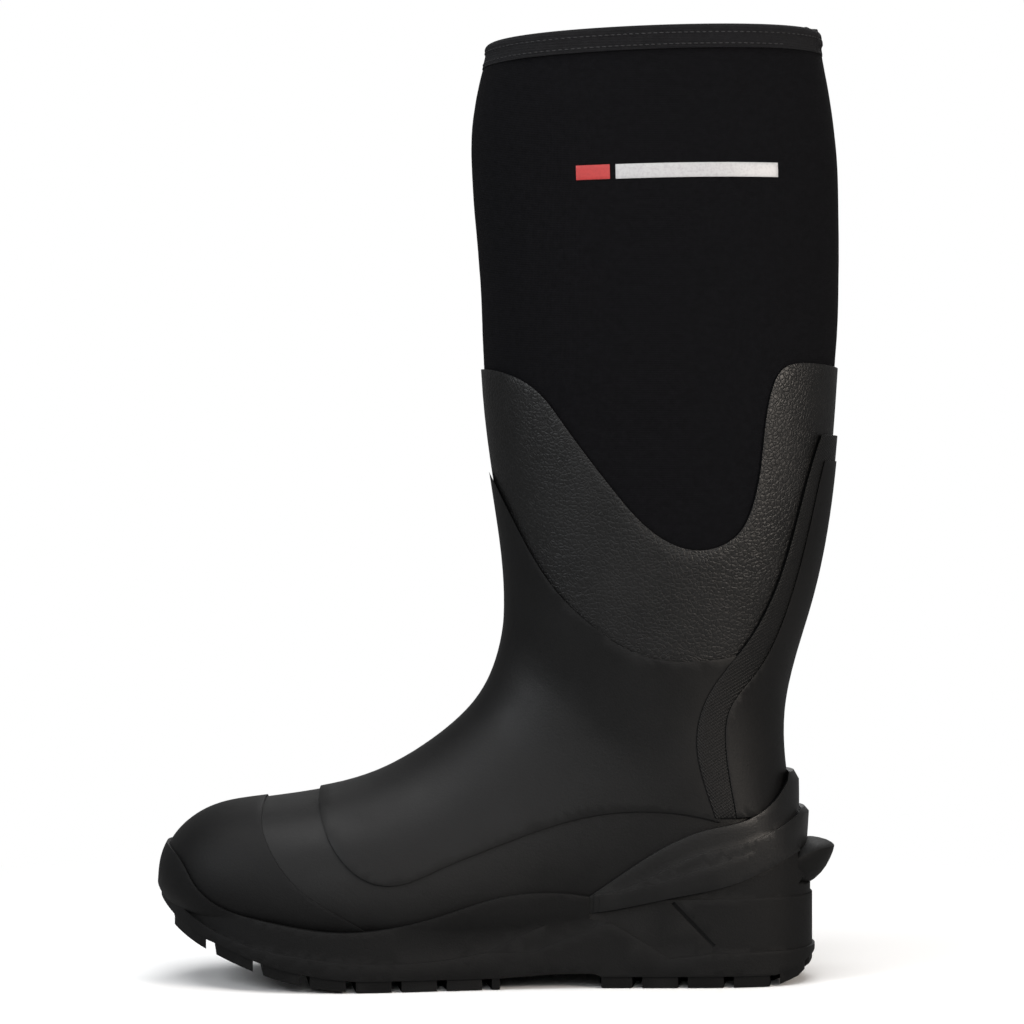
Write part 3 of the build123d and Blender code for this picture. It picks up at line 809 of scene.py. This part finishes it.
class BOOT_OT_overshoe(bpy.types.Operator):
    """The overlapping layers of moulded rubber"""

    bl_idname = "boot.overshoe"
    bl_label = "Rubber overshoe"

    # Heights at which the flares' back gets points, and how many millimetres it stands out.
    cuts = (0.0645, 0.0700, 0.0762, 0.0830, 0.0870, 0.0908)
    levels = (
        (0.0600, -1.9), (0.0645, -1.9), (0.0762, 0.8), (0.0786, -0.9), (0.0800, -0.5),
        (0.0908, 1.4), (0.0935, -0.8), (0.1000, -1.0),
    )

    def execute(self, context):
        radius = context.scene.boot_sizes.edge_radius
        for node, name, finish, slot in RUBBER_LAYERS:
            layer = skin_of(node, name)
            soft = node in SOFT_LAYERS
            finish_modifier(
                layer, "BEVEL", width=radius * (2.2 if soft else 1.0), segments=3 if soft else 2,
                limit_method="ANGLE", angle_limit=math.radians(38), use_clamp_overlap=True,
            )
            if node == "heel_counter":
                self.fade_front(layer)
                self.round_lips(layer)
            dress(layer, "boot", material(finish), slot=slot)
            smooth(layer, 45 if soft else 32)
            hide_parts(node)
        return {"FINISHED"}

    def fade_front(self, flares):
        """The flares' front ends run out flush into the rubber under them."""
        for side in (-1, 1):
            ease(flares, "Y", -side * 0.0013, lambda p: (p.y * side > 0) * (0.066 - p.x) / 0.022)

    def round_lips(self, flares):
        """At the back, each flare swells under its lip and draws in below."""
        pick(flares)
        bpy.context.tool_settings.mesh_select_mode = (False, False, True)
        for height in self.cuts:
            bpy.ops.object.mode_set(mode="EDIT")
            bpy.ops.mesh.select_all(action="DESELECT")
            bpy.ops.object.mode_set(mode="OBJECT")
            for face in flares.data.polygons:
                face.select = face.center.x > 0.118
            bpy.ops.object.mode_set(mode="EDIT")
            bpy.ops.mesh.bisect(plane_co=(0, 0, height), plane_no=(0, 0, 1))
            bpy.ops.object.mode_set(mode="OBJECT")

        def swell(point):
            for (low, first), (high, second) in zip(self.levels, self.levels[1:]):
                if low <= point.z <= high:
                    size = first + (second - first) * (point.z - low) / (high - low)
                    return size * ramp(point.x, 0.130, 0.010)
            return 0.0

        ease(flares, "X", 0.002, lambda p: swell(p) / 2)
        ease(flares, "X", -0.002, lambda p: -swell(p) / 2)


class BOOT_OT_outsole(bpy.types.Operator):
    """The cleated outsole with its softened edges"""

    bl_idname = "boot.outsole"
    bl_label = "Outsole"

    def execute(self, context):
        sole = skin_of("outsole", "cleated_sole")
        finish_modifier(
            sole, "BEVEL", width=context.scene.boot_sizes.sole_edge_radius, segments=2,
            limit_method="ANGLE", angle_limit=math.radians(30), use_clamp_overlap=True,
        )
        self.draw_in_spur(sole)
        dress(sole, "boot", material("sole rubber"), slot="sole_rubber")
        smooth(sole, 32)
        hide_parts("outsole")
        return {"FINISHED"}

    def draw_in_spur(self, sole):
        """Press the plain spur onto the heel's round wall, and its top into the wall."""
        reach = 0.015

        def proud(point):
            if point.x < 0.12 or abs(point.y) > 0.0245 or not 0.0435 < point.z < 0.0665:
                return 0.0
            wall = HEEL_CENTRE + math.sqrt(HEEL_RADIUS ** 2 - point.y ** 2)
            depth = 0.0035 if point.z > 0.0603 else -0.0002
            return (point.x - wall + depth) / reach

        ease(sole, "X", -reach, proud)


class BOOT_OT_spur(bpy.types.Operator):
    """The kick spur: a ledge that grows out of the heel and runs round its back"""

    bl_idname = "boot.spur"
    bl_label = "Kick spur"

    # Distance out from the spur's axis, and height above the ground.
    profile = (
        (0.0010, 0.0434), (0.0111, 0.0435), (0.0142, 0.0453), (0.0171, 0.0480), (0.0193, 0.0510),
        (0.0212, 0.0546), (0.0224, 0.0576), (0.0230, 0.0600), (0.0229, 0.0605), (0.0221, 0.0613),
        (0.0199, 0.0625), (0.0169, 0.0634), (0.0140, 0.0640), (0.0094, 0.0643), (0.0010, 0.0643),
    )

    def execute(self, context):
        half_turn = math.radians(98)
        deselect()
        bpy.ops.mesh.primitive_circle_add(
            vertices=len(self.profile), fill_type="NGON", location=(0, 0, 0),
        )
        spur = context.object
        spur.name = "kick_spur"
        settle(spur)
        for vertex, (reach, height) in zip(spur.data.vertices, self.profile):
            vertex.co = (
                SPUR_AXIS + reach * math.cos(half_turn), -reach * math.sin(half_turn), height,
            )
        bpy.ops.object.mode_set(mode="EDIT")
        bpy.ops.mesh.select_all(action="SELECT")
        bpy.ops.mesh.spin(
            steps=56, angle=-2 * half_turn, center=(SPUR_AXIS, 0, 0), axis=(0, 0, 1),
        )
        bpy.ops.mesh.select_all(action="SELECT")
        bpy.ops.mesh.normals_make_consistent(inside=False)
        bpy.ops.object.mode_set(mode="OBJECT")

        # Its edge falls toward the sides, where it runs out into the wall.
        def fall(point):
            return max(0.0, (0.1556 - point.x) / 0.0186) ** 2.1 * abs(point.y) / 0.023

        ease(spur, "Z", -0.0045, fall)
        dress(spur, "boot", material("sole rubber"), slot="sole_rubber")
        smooth(spur, 32)
        return {"FINISHED"}


class BOOT_OT_hidden(bpy.types.Operator):
    """Finishes of the stiff pieces shut in between sock and sole"""

    bl_idname = "boot.hidden"
    bl_label = "Hidden pieces"

    def execute(self, context):
        for node, finish in (
            ("toe_puff", "stiffener"), ("heel_stiffener", "stiffener"),
            ("insole_board", "fibre board"), ("shank", "steel"), ("midsole", "foam"),
        ):
            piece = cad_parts[node]
            piece.data.materials.clear()
            piece.data.materials.append(material(finish))
        return {"FINISHED"}


class BOOT_OT_binding(bpy.types.Operator):
    """The tape folded over the rim, its turned end and the tape down the back seam"""

    bl_idname = "boot.binding"
    bl_label = "Binding tapes"

    def execute(self, context):
        tape = self.rim_tape(context.scene.boot_sizes.tape_roll)
        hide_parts("topline_binding")
        end = self.tape_end()
        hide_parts("binding_end_tab")

        seam = skin_of("back_seam_tape", "seam_cover")
        dress(seam, "boot", material("lining"), slot="seam_tape")
        smooth(seam, 40)
        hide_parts("back_seam_tape")
        return {"FINISHED"}

    def rim_tape(self, roll):
        """The tape round the rim, with its two upper edges rolled."""
        tape = skin_of("topline_binding", "rim_tape")
        mesh = tape.data
        # The rim rises in a straight line between its highest corners at shin and calf.
        points = [vertex.co.copy() for vertex in mesh.vertices]
        front = min(points, key=lambda p: p.x - 4 * p.z if p.x < 0.02 else 9)
        back = max(points, key=lambda p: p.x + 4 * p.z if p.x > 0.12 else -9)
        slope = (back.z - front.z) / (back.x - front.x)
        on_rim = {
            vertex.index for vertex in mesh.vertices
            if abs(vertex.co.z - front.z - slope * (vertex.co.x - front.x)) < 0.00012
        }
        pick(tape)
        bpy.ops.object.mode_set(mode="EDIT")
        bpy.ops.mesh.select_all(action="DESELECT")
        bpy.ops.object.mode_set(mode="OBJECT")
        bpy.context.tool_settings.mesh_select_mode = (False, True, False)
        normals_at = {}
        for face in mesh.polygons:
            for key in face.edge_keys:
                normals_at.setdefault(key, []).append(face.normal)
        for edge in mesh.edges:
            normals = normals_at.get(edge.key, [])
            corner = len(normals) == 2 and normals[0].angle(normals[1], 0.0) > math.radians(50)
            edge.select = corner and edge.vertices[0] in on_rim and edge.vertices[1] in on_rim
        bpy.ops.object.mode_set(mode="EDIT")
        bpy.ops.mesh.bevel(offset=roll, segments=5, clamp_overlap=False)
        bpy.ops.object.mode_set(mode="OBJECT")
        # Its lower edge lies flat against the leg at the shin and at the calf.
        ease(tape, "X", 0.0009, lambda p: (0.012 - p.x) / 0.010 * (p.z < front.z - 0.004))
        ease(tape, "X", -0.0009, lambda p: (p.x - 0.132) / 0.010 * (p.z < back.z - 0.004))
        dress(tape, "boot", material("binding tape"), slot="binding_tape")
        smooth(tape, 50)
        return tape

    def tape_end(self):
        """The tape's turned end at the calf, whose top folds forward over the rim."""
        end = skin_of("binding_end_tab", "tape_end")
        top, front = 0.4295, 0.1487
        ease(end, "X", -0.0009, lambda p: 1.0)
        ease(end, "X", -0.0045, lambda p: p.x < front and p.z > top)
        ease(end, "X", -0.0016, lambda p: p.x > front and p.z > top)
        ease(end, "X", -0.0010, lambda p: p.z < 0.4262)
        ease(end, "Z", 0.0008, lambda p: p.z > top)
        finish_modifier(
            end, "BEVEL", width=0.0016, segments=4, limit_method="ANGLE", angle_limit=SHARP,
        )
        dress(end, "boot", material("binding tape"), slot="binding_tape")
        smooth(end, 40)
        return end


class BOOT_OT_stitching(bpy.types.Operator):
    """Two rows of stitches round the rim tape"""

    bl_idname = "boot.stitching"
    bl_label = "Stitching"

    lift = 0.00012  # of a stitch's middle above the tape

    def execute(self, context):
        sizes = context.scene.boot_sizes
        low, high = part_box("topline_binding")
        middle = Vector(((low.x + high.x) / 2, 0.0, 0.0))
        size = (sizes.stitch_length, sizes.thread * 1.1, sizes.thread * 0.8, 1.0)
        stitches = []
        deselect()
        bpy.ops.mesh.primitive_uv_sphere_add(segments=8, ring_count=5, radius=0.5)
        model = context.object
        for drop in (0.0037, 0.0088):
            angle = 0.0
            while angle < 2 * math.pi:
                way = Vector((math.cos(angle), math.sin(angle), 0.0))
                place, normal = self.on_tape(middle, way, high, drop)
                along = Vector((-normal.y, normal.x, 0.0)).normalized()
                turn = Matrix((along, normal.cross(along), normal)).transposed().to_4x4()
                stitch = model.copy()
                stitch.data = model.data.copy()
                stitch.matrix_world = (
                    Matrix.Translation(place + normal * self.lift) @ turn @ Matrix.Diagonal(size)
                )
                context.scene.collection.objects.link(stitch)
                stitches.append(stitch)
                angle += sizes.stitch_pitch / max((place - middle).xy.length, 0.02)
        bpy.data.objects.remove(model)
        deselect()
        for stitch in stitches:
            stitch.select_set(True)
        context.view_layer.objects.active = stitches[0]
        bpy.ops.object.join()
        rows = context.object
        rows.name = "rim_stitches"
        settle(rows)
        dress(rows, "boot", material("thread"), slot="binding_tape")
        smooth(rows, 60)
        return {"FINISHED"}

    def on_tape(self, middle, way, high, drop):
        """The tape's point and normal at this drop below the sloping rim, seen this way."""
        tape = bpy.data.objects["rim_tape"]
        place = middle
        for _ in range(3):  # the height follows from the place that the last ray found
            outside = middle + way * 0.13
            outside.z = high.z - RIM_SLOPE * (high.x - place.x) - 0.0003 - drop
            hit, place, normal, _ = tape.ray_cast(outside, -way)
            if not hit:
                raise RuntimeError("a stitch missed the tape")
        return place, normal


class BOOT_OT_bars(bpy.types.Operator):
    """Two plain printed bars on the outer side of the leg"""

    bl_idname = "boot.bars"
    bl_label = "Printed bars"

    def execute(self, context):
        height = context.scene.boot_sizes.bar_height
        sock = bpy.data.objects["neoprene_sock"]
        for name, start, end, finish in (
            ("red_bar", *SHORT_BAR, "red print"), ("pale_bar", *LONG_BAR, "pale print"),
        ):
            middle = (start + end) / 2
            deselect()
            bpy.ops.mesh.primitive_grid_add(
                x_subdivisions=40, y_subdivisions=4, size=1.0, location=(0, 0, 0),
            )
            bar = context.object
            bar.name = name
            bar.scale = (end - start, height, 1.0)
            bar.rotation_euler = (math.radians(90), math.radians(-1.3), 0.0)
            bar.location = (middle, -0.09, 0.3655 + 0.022 * (middle - 0.08))
            settle(bar)
            finish_modifier(
                bar, "SHRINKWRAP", target=sock, wrap_method="PROJECT", use_project_y=True,
                use_positive_direction=True, use_negative_direction=False, project_limit=0.09,
                offset=0.00005,
            )
            finish_modifier(bar, "SOLIDIFY", thickness=0.0003, offset=1.0)
            finish_modifier(
                bar, "BEVEL", width=0.00012, segments=2, limit_method="ANGLE", angle_limit=0.9,
            )
            dress(bar, "boot", material(finish), slot="neoprene")
            smooth(bar, 40)
        return {"FINISHED"}


class BOOT_OT_footbed(bpy.types.Operator):
    """The loose foam footbed and its cloth"""

    bl_idname = "boot.footbed"
    bl_label = "Footbed"

    def execute(self, context):
        pad = skin_of("footbed_foam", "footbed_pad")
        finish_modifier(
            pad, "BEVEL", width=0.0008, segments=2, limit_method="ANGLE", angle_limit=SHARP,
        )
        dress(pad, "footbed", material("foam"), slot="eva_foam")
        smooth(pad, 40)
        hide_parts("footbed_foam")

        cloth = skin_of("footbed_cover", "footbed_cloth")
        dress(cloth, "footbed", material("footbed cloth"), slot="lining_cloth")
        smooth(cloth, 40)
        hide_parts("footbed_cover")
        return {"FINISHED"}


class BOOT_PT_panel(bpy.types.Panel):
    """Lists the boot's pieces in the order in which they are made"""

    bl_idname = "BOOT_PT_panel"
    bl_label = "Tall stable boot"
    bl_space_type = "VIEW_3D"
    bl_region_type = "UI"
    bl_category = "Boot"

    def draw(self, context):
        layout = self.layout
        for settings in (context.scene.boot_sizes, context.scene.boot_colours):
            for name in settings.__annotations__:
                layout.prop(settings, name)
        for operator in OPERATORS:
            layout.operator(operator.bl_idname)


OPERATORS = (
    BOOT_OT_stage, BOOT_OT_sock, BOOT_OT_overshoe, BOOT_OT_outsole, BOOT_OT_spur, BOOT_OT_hidden,
    BOOT_OT_binding, BOOT_OT_stitching, BOOT_OT_bars, BOOT_OT_footbed,
)


def register():
    """Add the classes and the settings."""
    for cls in (BootSizes, BootColours, *OPERATORS, BOOT_PT_panel):
        bpy.utils.register_class(cls)
    bpy.types.Scene.boot_sizes = bpy.props.PointerProperty(type=BootSizes)
    bpy.types.Scene.boot_colours = bpy.props.PointerProperty(type=BootColours)


def unregister():
    """Take the settings and the classes away again."""
    del bpy.types.Scene.boot_colours
    del bpy.types.Scene.boot_sizes
    for cls in (BOOT_PT_panel, *reversed(OPERATORS), BootColours, BootSizes):
        bpy.utils.unregister_class(cls)


def main():
    """Make the boot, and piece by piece."""
    register()
    bpy.ops.boot.stage()
    bpy.ops.boot.sock()
    bpy.ops.boot.overshoe()
    bpy.ops.boot.outsole()
    bpy.ops.boot.spur()
    bpy.ops.boot.hidden()
    bpy.ops.boot.binding()
    bpy.ops.boot.stitching()
    bpy.ops.boot.bars()
    bpy.ops.boot.footbed()


if __name__ == "__main__":
    main()
